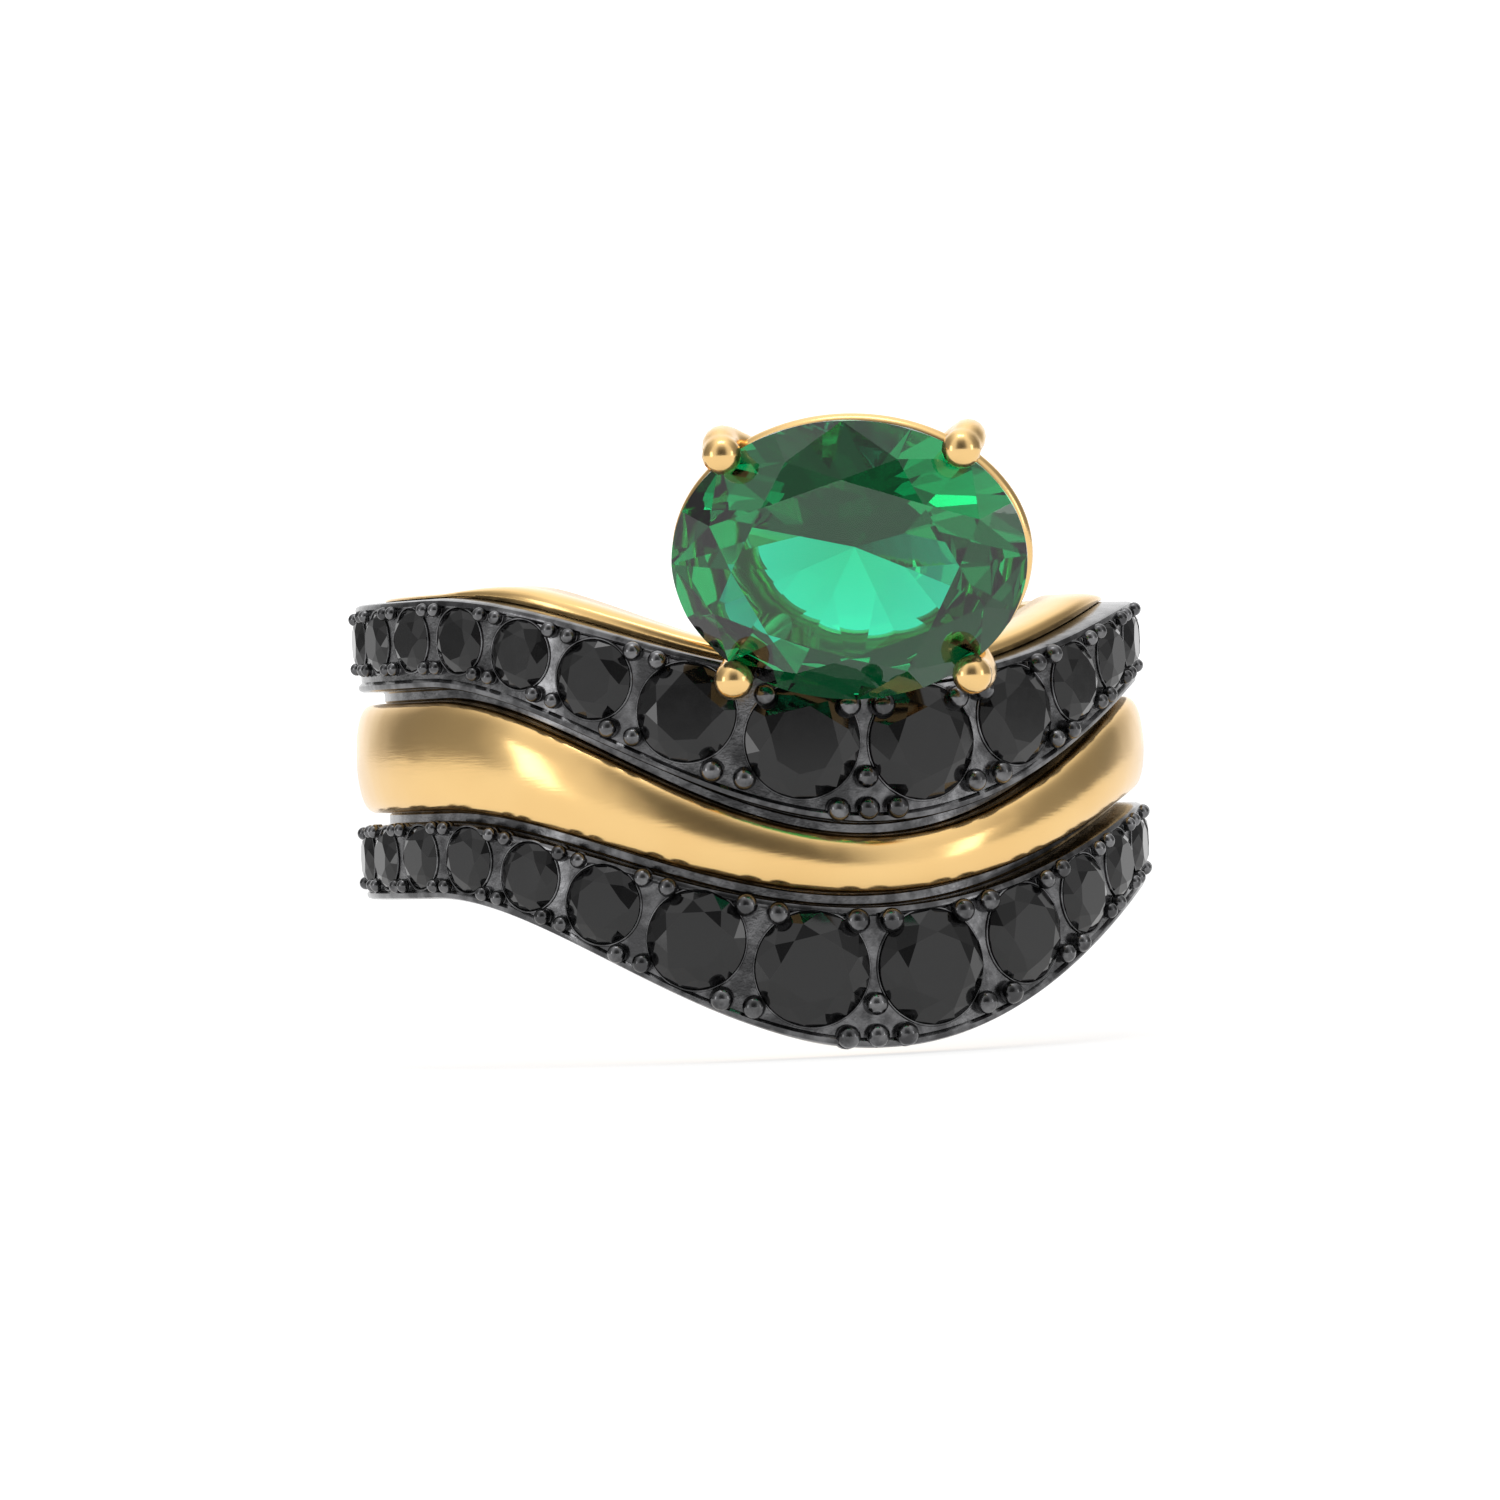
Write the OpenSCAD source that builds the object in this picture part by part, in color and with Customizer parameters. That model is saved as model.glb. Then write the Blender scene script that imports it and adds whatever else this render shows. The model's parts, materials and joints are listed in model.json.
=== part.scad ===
// Cocktail ring: three bands sweep round a plain sleeve and dip together at the front,
// where an oval stone stands in a four-claw wire head above the dip.
// Frame: millimetres, finger axis along +Z, front of the ring towards -Y,
// origin on the finger axis at the middle of the plain back shank.

/* [Finger hole] */
// Inside radius of the ring
bore_r = 8.85; // [8.6:0.05:9]
// Wall of the sleeve that carries the bands
sleeve_t = 0.9; // [0.8:0.05:1]

/* [Back of the shank] */
// Thickness at the back of the hand
back_t = 1.5; // [1.3:0.05:1.8]
// Width at the back of the hand
back_w = 3.2; // [2.6:0.1:3.4]
// Angle from the front at which the bands stop
band_end = 111; // [108:1:114]

/* [Bands] */
// Angle of the middle of the design from the front of the ring
turn = 16.6; // [0:0.1:30]
// Height of the black rails over the sleeve
rail_h = 1.6; // [1.5:0.05:1.65]
// Height of the ledges beside the gold band over the sleeve
ledge_h = 0.85; // [0.7:0.05:0.95]
// Width of the ledges beside the gold band
ledge_w = 0.32; // [0.25:0.01:0.4]
// Height of the gold band's crest over the sleeve
crest_h = 1.75; // [1.5:0.05:1.9]
// Height of the gold band's straight sides over the sleeve
side_h = 0.95; // [0.8:0.05:1.1]
// Height of the plain shoulder over the bore
shoulder_h = 1.6; // [1.5:0.05:1.7]

/* [Black stones] */
// Metal left between the two middle stones of a row
stone_gap = 0.3; // [0.26:0.01:0.34]
// Growth of that gap from each stone to the next one out
gap_growth = 0.035; // [0:0.005:0.04]
// Height of a black stone's crown over its diameter
crown_ratio = 0.15; // [0.12:0.01:0.18]
// Depth of a black stone's pavilion over its diameter
pavilion_ratio = 0.37; // [0.36:0.01:0.42]
// Depth of the girdle below the face of the rail
girdle_sink = 0.1; // [0.08:0.01:0.12]
// Bead radius over the mean radius of the two stones that it holds
bead_ratio = 0.24; // [0.22:0.01:0.26]

/* [Oval stone] */
// Length of the oval stone
oval_l = 10; // [9.8:0.1:10.2]
// Width of the oval stone
oval_w = 8; // [7.8:0.1:8.2]
// Height of its crown
oval_crown = 1.15; // [1:0.05:1.3]
// Depth of its pavilion
oval_pavilion = 3.4; // [3.2:0.05:3.5]
// How far the stone looks down from level
head_tilt = 14; // [12:1:16]
// How far the stone looks to the left
head_yaw = 7; // [5:1:8]
// How far the stone rolls to its right about its own axis
head_roll = 1.2; // [0:0.1:2]

/* [Head wires] */
// Radius of a claw
claw_r = 0.5; // [0.46:0.01:0.52]
// Radius of a claw's rounded tip
tip_r = 0.56; // [0.53:0.01:0.58]
// Radius of the gallery wire under the stone
gallery_r = 0.3; // [0.28:0.01:0.32]
// Radius of the base wire
base_r = 0.4; // [0.38:0.01:0.42]
// Radius of the two struts on the shoulder
strut_r = 0.45; // [0.42:0.01:0.48]

/* [Hidden] */
$fn = 48;
gold = [0.93, 0.76, 0.45];
black_metal = [0.13, 0.13, 0.14];
black_gem = [0.05, 0.05, 0.06];
green_gem = [0.05, 0.45, 0.25];
sleeve_r = bore_r + sleeve_t;
rail_r = sleeve_r + rail_h;
ledge_r = sleeve_r + ledge_h;
crest_r = sleeve_r + crest_h;
side_r = sleeve_r + side_h;
shoulder_r = bore_r + shoulder_h;
back_r = bore_r + back_t;
fit = 0.02;
inset = 0.4;
seat_r = sleeve_r + 2 * fit;

// Diameters of the black stones of one row, from the middle outwards
stone_d = [3.25, 2.8, 2.25, 1.95, 1.85, 1.8, 1.75, 1.7];
per_side = len(stone_d);
per_row = 2 * per_side;

// The band edges: height at the sides, depth of the dip, fall from left to right
wave_half = 71;
lean_half = 60;
upper_edge = [4.31, 2.39, 0.42];
gold_top = [1.46, 3.99, 0.35];
gold_bottom = [-1.52, 2.68, 0.14];
lower_edge = [-4.19, 4.38, 0.3];
rows = ["upper", "lower"];
row_top = [upper_edge, gold_bottom];
row_bottom = [gold_top, lower_edge];
row_shift = [0.3, -0.03];

NODES = concat(
    ["ring_shank", "centre_band", "upper_pave_rail", "lower_pave_rail"],
    [for (k = [0 : 1], i = [1 : per_row]) stone_name(k, i)],
    ["upper_rail_top_beads", "upper_rail_bottom_beads"],
    ["lower_rail_top_beads", "lower_rail_bottom_beads"],
    ["head_gallery_wire", "head_base_wire", "head_strut_left", "head_strut_right"],
    ["claw_top_left", "claw_top_right", "claw_bottom_left", "claw_bottom_right"],
    ["centre_stone"]
);
node = "all";

function stone_name(k, i) = str(rows[k], "_stone_", i < 10 ? "0" : "", i);
function drawn(name) = node == "all" || node == name;

// ---- where things lie on the ring: a is the angle from the middle of the design ----

function wave(a) = abs(a) < wave_half ? (1 + cos(180 * a / wave_half)) / 2 : 0;
function lean(a) = sin(90 * max(-1, min(1, a / lean_half)));
function edge_z(e, a) = e[0] - e[1] * wave(a) - e[2] * lean(a);
function at(r, a, z) = [r * sin(a + turn), -r * cos(a + turn), z];
function ease(t) = let (c = max(0, min(1, t))) c * c * (3 - 2 * c);
function mix(p, q, t) = p * (1 - t) + q * t;

// The bands thin down over their last few degrees to meet the back of the shank
function thinned(r, a) = mix(r, ledge_r + fit, ease(1 - (band_end - abs(a)) / 7));
function shoulder_z(a) = edge_z(upper_edge, a) + 0.15 + 0.35 * ease((75 - abs(a)) / 25);
function row_z(k, a) = (edge_z(row_top[k], a) + edge_z(row_bottom[k], a)) / 2 + row_shift[k];

// Angles of the stones of row k on the side s, each set clear of the one before
function apart(k, a, b) = norm(at(rail_r, a, row_z(k, a)) - at(rail_r, b, row_z(k, b)));
function reach(k, a, b, gap) = apart(k, a, b) >= gap ? b : reach(k, a, b + sign(b - a) / 4, gap);
function stone_angle(k, s, i) =
    i == 0 ? s * asin((stone_d[0] + stone_gap) / 2 / rail_r)
    : let (before = stone_angle(k, s, i - 1))
      reach(k, before, before + s, (stone_d[i - 1] + stone_d[i]) / 2 + stone_gap + gap_growth * i);
row_angles = [for (k = [0 : 1]) concat(
    [for (i = [per_side - 1 : -1 : 0]) stone_angle(k, -1, i)],
    [for (i = [0 : per_side - 1]) stone_angle(k, 1, i)]
)];
row_d = concat([for (i = [per_side - 1 : -1 : 0]) stone_d[i]], stone_d);

// Turns and moves a piece drawn at the origin, facing +Z, out to the face of the bands
module stand(r, a, z) {
    translate(at(r, a, z)) rotate([90, 0, a + turn]) children();
}

// ---- swept and faceted solids ----

// Joins sections of equal length; a closed sweep comes back to its first section
module sweep(sections, closed = false) {
    n = len(sections);
    m = len(sections[0]);
    spans = closed ? n : n - 1;
    sides = [
        for (i = [0 : spans - 1], j = [0 : m - 1])
            let (a = i * m, b = ((i + 1) % n) * m, p = j, q = (j + 1) % m)
                each [[a + p, a + q, b + q], [a + p, b + q, b + p]]
    ];
    ends = closed ? [] : [[for (j = [m - 1 : -1 : 0]) j], [for (j = [0 : m - 1]) (n - 1) * m + j]];
    polyhedron([for (s = sections) each s], concat(sides, ends), convexity = 10);
}

// A round wire through points, its sections square to the path; up is square to the bends
module wire(path, r, sides = 10, closed = false, up = [0, 0, 1]) {
    n = len(path);
    last = n - 1;
    sections = [
        for (i = [0 : last])
            let (
                before = path[closed ? (i + last) % n : max(i - 1, 0)],
                after = path[closed ? (i + 1) % n : min(i + 1, last)],
                t = (after - before) / norm(after - before),
                across = cross(up, t),
                u = across / norm(across),
                v = cross(t, u)
            )
            [for (j = [0 : sides - 1]) path[i] + r * (u * cos(360 * j / sides) - v * sin(360 * j / sides))]
    ];
    sweep(sections, closed);
}

// A brilliant cut: table, eight stars, eight kites and sixteen halves over a thin girdle,
// eight mains and sixteen halves under it. Girdle plane at z = 0, table towards +Z.
module brilliant(rx, ry, crown, pavilion, girdle = 0.08, table = 0.6, star = 0.8, lower = 0.25) {
    lip = girdle / 2;
    kite_z = lip + (crown - lip) * (1 - star * cos(22.5)) / (1 - table);
    main_z = -lip - (pavilion - lip) * (1 - lower * cos(22.5));
    function ring(f, z, count, from) =
        [for (i = [0 : count - 1]) let (b = from + i * 360 / count) [rx * f * cos(b), ry * f * sin(b), z]];
    points = concat(
        ring(table, crown, 8, 0),
        ring(star, kite_z, 8, 22.5),
        ring(1, lip, 16, 0),
        ring(1, -lip, 16, 0),
        ring(lower, main_z, 8, 22.5),
        [[0, 0, -pavilion]]
    );
    culet = 56;
    faces = concat(
        [[7, 6, 5, 4, 3, 2, 1, 0]],
        [for (i = [0 : 7]) [i, (i + 1) % 8, 8 + i]],
        [for (i = [0 : 7]) [i, 8 + i, 16 + 2 * i, 8 + (i + 7) % 8]],
        [for (i = [0 : 7]) [8 + i, 17 + 2 * i, 16 + 2 * i]],
        [for (i = [0 : 7]) [8 + i, 16 + (2 * i + 2) % 16, 17 + 2 * i]],
        [for (i = [0 : 15]) let (j = (i + 1) % 16) [16 + i, 16 + j, 32 + j, 32 + i]],
        [for (i = [0 : 7]) [32 + 2 * i, 33 + 2 * i, 48 + i]],
        [for (i = [0 : 7]) [33 + 2 * i, 32 + (2 * i + 2) % 16, 48 + i]],
        [for (i = [0 : 7]) [32 + 2 * i, 48 + i, culet, 48 + (i + 7) % 8]]
    );
    polyhedron(points, faces, convexity = 4);
}

// ---- the shank: sleeve, shoulder and plain back in one piece ----

function back_mix(a) = ease((abs(a) - band_end) / (180 - band_end));

// Section under the bands: thin sleeve with the thicker rounded shoulder above the upper rail
function front_section(a) =
    let (top = shoulder_z(a), sill = edge_z(upper_edge, a) + fit,
         bottom = edge_z(lower_edge, a) + 0.15, rise = max(top - sill, 0.1))
    [
        at(bore_r - inset, a, bottom),
        at(sleeve_r, a, bottom),
        at(sleeve_r, a, sill),
        at(shoulder_r, a, sill),
        at(shoulder_r, a, sill + rise * 0.4),
        at(shoulder_r - 0.18, a, sill + rise * 0.8),
        at(shoulder_r - 0.6, a, sill + rise),
        at(bore_r - inset, a, sill + rise)
    ];

// Section past the ends of the bands, narrowing and thinning towards the back
function back_section(a) =
    let (side = a > 180 ? a - 360 : a, t = back_mix(side),
         top = mix(shoulder_z(side), back_w / 2, t),
         bottom = mix(edge_z(lower_edge, side), -back_w / 2, t),
         r = mix(ledge_r, back_r, ease(1.5 * t)), h = top - bottom, soft = 0.3)
    [
        at(bore_r - inset, a, bottom),
        at(r - 2.4 * soft, a, bottom),
        at(r - 1.4 * soft, a, bottom + soft),
        at(r, a, bottom + h * 0.35),
        at(r, a, bottom + h * 0.65),
        at(r - 1.4 * soft, a, top - soft),
        at(r - 2.4 * soft, a, top),
        at(bore_r - inset, a, top)
    ];

module shank_blank() {
    reach = band_end + fit;
    front = [for (i = [0 : 50]) front_section(reach * (i / 25 - 1))];
    back = [for (i = [0 : 24]) back_section(mix(reach + 0.2, 359.8 - reach, i / 24))];
    sweep(concat(front, back), closed = true);
}

module ring_shank() {
    color(gold) difference() {
        shank_blank();
        translate([0, 0, -20]) cylinder(r = bore_r, h = 40, $fn = 128);
        for (i = [0, 1]) strut_at(i) cylinder(r = strut_r + fit, h = 10);
    }
}

// ---- the three bands ----

function band_angles() = let (n = 56) [for (i = [0 : n]) -band_end + 2 * band_end * i / n];

module centre_band() {
    function section(a) =
        let (top = edge_z(gold_top, a), bottom = edge_z(gold_bottom, a),
             mid = (top + bottom) / 2, half = (top - bottom) / 2, rise = crest_r - side_r)
        concat(
            [at(seat_r, a, bottom)],
            [for (b = [-90 : 20 : 90]) at(thinned(side_r + rise * cos(b), a), a, mid + half * sin(b))],
            [at(seat_r, a, top)]
        );
    color(gold) sweep([for (a = band_angles()) section(a)]);
}

// A black rail: full height between its edges, with a lower ledge beside the gold band
module rail_blank(k) {
    function section(a) =
        let (top = edge_z(row_top[k], a) - (k == 1 ? fit : 0),
             bottom = edge_z(row_bottom[k], a) + (k == 0 ? fit : 0),
             top_step = k == 1 ? ledge_w : 0, bottom_step = k == 0 ? ledge_w : 0)
        [
            at(seat_r, a, bottom),
            at(ledge_r, a, bottom),
            at(ledge_r, a, bottom + bottom_step + 0.04),
            at(thinned(rail_r, a), a, bottom + bottom_step + 0.14),
            at(thinned(rail_r, a), a, top - top_step - 0.14),
            at(ledge_r, a, top - top_step - 0.04),
            at(ledge_r, a, top),
            at(seat_r, a, top)
        ];
    sweep([for (a = band_angles()) section(a)]);
}

module pave_rail(k) {
    color(black_metal) difference() {
        rail_blank(k);
        for (i = [0 : per_row - 1]) on_seat(k, i) seat(row_d[i]);
        if (k == 0) in_head() for (sx = [-1, 1]) claw_shape(sx, -1, fit);
    }
}

// ---- black stones, their seats and the beads that hold them ----

module on_seat(k, i) {
    a = row_angles[k][i];
    stand(rail_r - girdle_sink, a, row_z(k, a)) children();
}

module seat(d) {
    r = d / 2 + fit;
    rotate_extrude() polygon([[0, -d * pavilion_ratio - 0.05], [r, -0.08], [r, 0.05], [r + 0.06, 1], [0, 1]]);
}

// The room that a stone takes up above its girdle, which the beads are notched to clear
module crown_room(d) {
    r = d / 2 + fit;
    top = d * crown_ratio + 0.04;
    rotate_extrude() polygon([[0, -0.3], [r, -0.08], [r, 0.06], [r * 0.6, top], [0, top]]);
}

module row_stone(k, i) {
    d = row_d[i];
    color(black_gem) on_seat(k, i) rotate(11.25 * (i % 4))
        brilliant(d / 2, d / 2, d * crown_ratio, d * pavilion_ratio);
}

module bead(r) {
    translate([0, 0, -r]) cylinder(r = r, h = r + 0.05);
    translate([0, 0, 0.05]) sphere(r = r);
}

// Two beads at one edge of the gap between stones i and i + 1; side is 1 at the top edge.
// The top pairs of the three middle gaps of the upper row sit lower, clear of the head.
module bead_pair(k, i, side) {
    spread = k == 0 && side == 1 && abs(i - per_side + 1) < 2 ? 0.7 : 0.9;
    both = row_d[i] + row_d[i + 1];
    a = (row_angles[k][i] * row_d[i + 1] + row_angles[k][i + 1] * row_d[i]) / both;
    r = both / 4;
    slope = atan2(row_z(k, a + 2) - row_z(k, a - 2), rail_r * 4 * PI / 180);
    stand(rail_r, a, row_z(k, a)) rotate(slope)
        for (s = [-1, 1]) translate([s * r * 0.31, side * r * spread, 0]) bead(r * bead_ratio);
}

// One bead past the last stone at each end of the row
module end_beads(k, side) {
    for (i = [0, per_row - 1]) {
        a = row_angles[k][i] + sign(row_angles[k][i]) * 4.6;
        r = row_d[i] / 2;
        stand(rail_r, a, row_z(k, a)) translate([0, side * r * 0.85, 0]) bead(r * bead_ratio);
    }
}

// Under the middle gap stand one bead and, below it, a row of three
module middle_beads(k) {
    r = stone_d[0] / 2;
    bead_r = r * bead_ratio * 0.93;
    stand(rail_r, 0, row_z(k, 0)) {
        translate([0, -r * 0.54, 0]) bead(bead_r);
        for (s = [-1 : 1]) translate([s * r * 0.53, -r * 1.09, 0]) bead(bead_r);
    }
}

module rail_beads(k, side) {
    middle = per_side - 1;
    color(black_metal) difference() {
        union() {
            for (i = [0 : per_row - 2]) if (side == 1 || i != middle) bead_pair(k, i, side);
            end_beads(k, side);
            if (side == -1) middle_beads(k);
        }
        translate([0, 0, -20]) cylinder(r = rail_r, h = 40, $fn = 128);
        for (i = [0 : per_row - 1]) on_seat(k, i) crown_room(row_d[i]);
    }
}

// ---- the oval stone and its wire head, drawn facing +Z with the girdle at z = 0 ----

head_at = [3, -13.3, 5.18];
claw_angle = 50;
gallery_z = -0.85;
base_z = -3.2;
base_l = 2.5;
base_w = 2;

module in_head() {
    translate(head_at) rotate([90 + head_tilt, 0, -head_yaw]) rotate(-head_roll) children();
}

function oval(l, w, z) = [for (i = [0 : 31]) [l * cos(i * 11.25), w * sin(i * 11.25), z]];

module oval_brilliant(grow = 0) {
    brilliant(oval_l / 2 + grow, oval_w / 2 + grow, oval_crown + grow, oval_pavilion + grow,
              girdle = 0.16 + 2 * grow, table = 0.64, star = 0.82, lower = 0.32);
}

module centre_stone() {
    color(green_gem) in_head() oval_brilliant();
}

module gallery_path(r) {
    wire(oval(oval_l / 2 - 0.25, oval_w / 2 - 0.25, gallery_z), r, closed = true);
}

module base_path(r) {
    wire(oval(base_l, base_w, base_z), r, closed = true);
}

// A claw rises from the base wire, passes outside the girdle and turns in over the crown
module claw_shape(sx, sy, grow = 0) {
    function along(f, z, out = 0) =
        [sx * (f * oval_l / 2 + out) * cos(claw_angle), sy * (f * oval_w / 2 + out) * sin(claw_angle), z];
    path = [
        along(0.52, base_z - 0.2),
        along(0.64, base_z + 0.4),
        along(0.9, gallery_z - 0.6, 0.1),
        along(1, gallery_z + 0.2, 0.3),
        along(1, -0.1, 0.42),
        along(1, 0.35, 0.3)
    ];
    wire(path, claw_r + grow, sides = 12, up = [-sy * sin(claw_angle), sx * cos(claw_angle), 0]);
    translate(along(1, 0.6, 0.22)) sphere(r = tip_r + grow);
}

module claw(sx, sy) {
    color(gold) in_head() difference() {
        claw_shape(sx, sy);
        oval_brilliant(fit);
    }
}

module clear_of_claws() {
    difference() {
        children();
        for (sx = [-1, 1], sy = [-1, 1]) claw_shape(sx, sy, fit);
    }
}

module head_gallery_wire() {
    color(gold) in_head() clear_of_claws() gallery_path(gallery_r);
}

module head_base_wire() {
    color(gold) in_head() clear_of_claws() base_path(base_r);
}

// The two struts stand upright in holes drilled down into the shoulder
strut_ring = 9.95;
strut_angle = [-5, 5.5];
strut_foot = 2.05;
strut_h = 2.15;

module strut_at(i) {
    translate(at(strut_ring, strut_angle[i], strut_foot)) children();
}

module head_strut(i) {
    color(gold) difference() {
        strut_at(i) cylinder(r = strut_r, h = strut_h);
        in_head() base_path(base_r + fit);
    }
}

if (drawn("ring_shank")) ring_shank();
if (drawn("centre_band")) centre_band();
if (drawn("upper_pave_rail")) pave_rail(0);
if (drawn("lower_pave_rail")) pave_rail(1);
for (k = [0 : 1], i = [1 : per_row]) if (drawn(stone_name(k, i))) row_stone(k, i - 1);
if (drawn("upper_rail_top_beads")) rail_beads(0, 1);
if (drawn("upper_rail_bottom_beads")) rail_beads(0, -1);
if (drawn("lower_rail_top_beads")) rail_beads(1, 1);
if (drawn("lower_rail_bottom_beads")) rail_beads(1, -1);
if (drawn("head_gallery_wire")) head_gallery_wire();
if (drawn("head_base_wire")) head_base_wire();
if (drawn("head_strut_left")) head_strut(0);
if (drawn("head_strut_right")) head_strut(1);
if (drawn("claw_top_left")) claw(-1, 1);
if (drawn("claw_top_right")) claw(1, 1);
if (drawn("claw_bottom_left")) claw(-1, -1);
if (drawn("claw_bottom_right")) claw(1, -1);
if (drawn("centre_stone")) centre_stone();
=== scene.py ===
"""Looks of a cocktail ring: gold shank and band, black rails with their stones and beads, and an
oval stone in a wire head. Shapes are drawn in millimetres and brought to metres when finished."""

import json
from math import asin, atan2, cos, degrees, hypot, pi, radians, sin

import bmesh
import bpy
from bpy.props import FloatProperty, FloatVectorProperty, IntProperty, PointerProperty
from mathutils import Matrix, Vector


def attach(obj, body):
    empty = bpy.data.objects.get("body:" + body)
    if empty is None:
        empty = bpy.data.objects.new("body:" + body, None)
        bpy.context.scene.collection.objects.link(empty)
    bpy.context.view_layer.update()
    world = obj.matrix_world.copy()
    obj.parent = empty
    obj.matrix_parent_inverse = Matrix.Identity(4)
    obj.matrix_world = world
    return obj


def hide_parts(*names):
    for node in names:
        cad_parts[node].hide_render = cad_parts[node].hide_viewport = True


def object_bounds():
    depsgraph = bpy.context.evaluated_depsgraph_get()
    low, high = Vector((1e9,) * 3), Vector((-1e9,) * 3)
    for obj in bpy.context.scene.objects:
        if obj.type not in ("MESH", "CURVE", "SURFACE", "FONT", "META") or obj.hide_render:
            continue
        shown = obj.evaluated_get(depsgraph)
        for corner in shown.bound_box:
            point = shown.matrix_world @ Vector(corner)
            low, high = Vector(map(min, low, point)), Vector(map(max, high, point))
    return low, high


bl_info = {
    "name": "Cocktail ring",
    "version": (1, 0, 0),
    "blender": (4, 5, 0),
    "location": "3D View > Sidebar > Ring",
    "description": "Builds a three-band cocktail ring with black stones and an oval stone",
    "category": "Add Mesh",
}

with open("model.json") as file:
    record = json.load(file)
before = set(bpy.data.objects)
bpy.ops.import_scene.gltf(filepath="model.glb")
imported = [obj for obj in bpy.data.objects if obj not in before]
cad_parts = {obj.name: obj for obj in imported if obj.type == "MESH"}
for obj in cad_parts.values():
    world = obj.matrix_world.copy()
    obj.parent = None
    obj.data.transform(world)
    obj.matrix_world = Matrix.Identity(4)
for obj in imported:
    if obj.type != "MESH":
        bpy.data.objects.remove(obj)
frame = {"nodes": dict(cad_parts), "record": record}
CAD_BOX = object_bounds()
MM = 0.001
BODY = "root"

# ---- sizes of the ring in millimetres; angles run from the middle of the design ----

BORE_R = next(m for m in frame["record"]["mounts"] if m["kind"] == "bore")["dims"]["r_mm"]
SLEEVE_R = BORE_R + 0.9
SEAT_R = SLEEVE_R + 0.04
SHOULDER_R = BORE_R + 1.6
BACK_R = BORE_R + 1.5
BACK_W = 3.2
BAND_END = 111
TURN = 16.6
WAVE_HALF = 71
LEAN_HALF = 60
CREST_R = SLEEVE_R + 1.75
SIDE_R = SLEEVE_R + 0.95
RAIL_R = SLEEVE_R + 1.6
LEDGE_R = SLEEVE_R + 0.85

# Each edge: height at the sides, depth of the dip, fall from left to right
UPPER_EDGE = (4.31, 2.39, 0.42)
GOLD_TOP = (1.46, 3.99, 0.35)
GOLD_BOTTOM = (-1.52, 2.68, 0.14)
LOWER_EDGE = (-4.19, 4.38, 0.3)
RAILS = {
    "upper": {"top": UPPER_EDGE, "bottom": GOLD_TOP, "shift": 0.3, "ledge_on_top": False},
    "lower": {"top": GOLD_BOTTOM, "bottom": LOWER_EDGE, "shift": -0.03, "ledge_on_top": True},
}

# Black stones of one half row, from the middle outwards
STONE_D = (3.25, 2.8, 2.25, 1.95, 1.85, 1.8, 1.75, 1.7)
PER_SIDE = len(STONE_D)
ROW_D = STONE_D[::-1] + STONE_D
STONE_GAP = 0.3
GAP_GROWTH = 0.035
GIRDLE_SINK = 0.1

# Oval stone and its wire head
OVAL_L = 10
OVAL_W = 8
HEAD_AT = (3, -13.3, 5.18)
HEAD_TILT = 14
HEAD_YAW = 7
HEAD_ROLL = 1.2
CLAW_ANGLE = 50
GALLERY_Z = -0.85
BASE_Z = -3.2
WIRES = {
    # name: reach along the stone, reach across it, height, thickness
    "gallery": (OVAL_L / 2 - 0.25, OVAL_W / 2 - 0.25, GALLERY_Z, 0.3),
    "base": (2.5, 2, BASE_Z, 0.4),
}


def edge_z(edge, a):
    wave = (1 + cos(pi * a / WAVE_HALF)) / 2 if abs(a) < WAVE_HALF else 0
    lean = sin(pi / 2 * max(-1, min(1, a / LEAN_HALF)))
    return edge[0] - edge[1] * wave - edge[2] * lean


def ease(t):
    t = max(0, min(1, t))
    return t * t * (3 - 2 * t)


def mix(p, q, t):
    return p * (1 - t) + q * t


def at(r, a, z):
    """The point at radius r, angle a from the middle of the design and height z."""
    return Vector((r * sin(radians(a + TURN)), -r * cos(radians(a + TURN)), z))


def stand(r, a, z):
    """Turns what is drawn facing +Z out to face away from the finger at that point."""
    turn = radians(a + TURN)
    axes = Matrix(((cos(turn), 0, sin(turn)), (sin(turn), 0, -cos(turn)), (0, 1, 0)))
    return Matrix.Translation(at(r, a, z)) @ axes.to_4x4()


def head_place():
    tilt = Matrix.Rotation(radians(90 + HEAD_TILT), 4, "X")
    yaw = Matrix.Rotation(-radians(HEAD_YAW), 4, "Z")
    return Matrix.Translation(HEAD_AT) @ yaw @ tilt @ Matrix.Rotation(-radians(HEAD_ROLL), 4, "Z")


def row_z(rail, a):
    return (edge_z(rail["top"], a) + edge_z(rail["bottom"], a)) / 2 + rail["shift"]


def row_angles(rail):
    """Angles of a row's stones from left to right, each set clear of the one before."""
    halves = {}
    for side in (-1, 1):
        angles = [side * degrees(asin((STONE_D[0] + STONE_GAP) / 2 / RAIL_R))]
        for i in range(1, PER_SIDE):
            gap = (STONE_D[i - 1] + STONE_D[i]) / 2 + STONE_GAP + GAP_GROWTH * i
            before = angles[-1]
            a = before + side
            start = at(RAIL_R, before, row_z(rail, before))
            while (at(RAIL_R, a, row_z(rail, a)) - start).length < gap:
                a += side / 4
            angles.append(a)
        halves[side] = angles
    return halves[-1][::-1] + halves[1]


# ---- modelling by hand, one step at a time ----


def clear():
    if bpy.context.object and bpy.context.object.mode != "OBJECT":
        bpy.ops.object.mode_set(mode="OBJECT")
    bpy.ops.object.select_all(action="DESELECT")


def pick(*pieces):
    clear()
    for piece in pieces:
        piece.select_set(True)
    bpy.context.view_layer.objects.active = pieces[-1]


def edit(piece, mode="VERT"):
    """Opens a piece in edit mode with everything selected."""
    pick(piece)
    bpy.ops.object.mode_set(mode="EDIT")
    bpy.ops.mesh.select_mode(type=mode)
    bpy.ops.mesh.select_all(action="SELECT")


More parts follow.
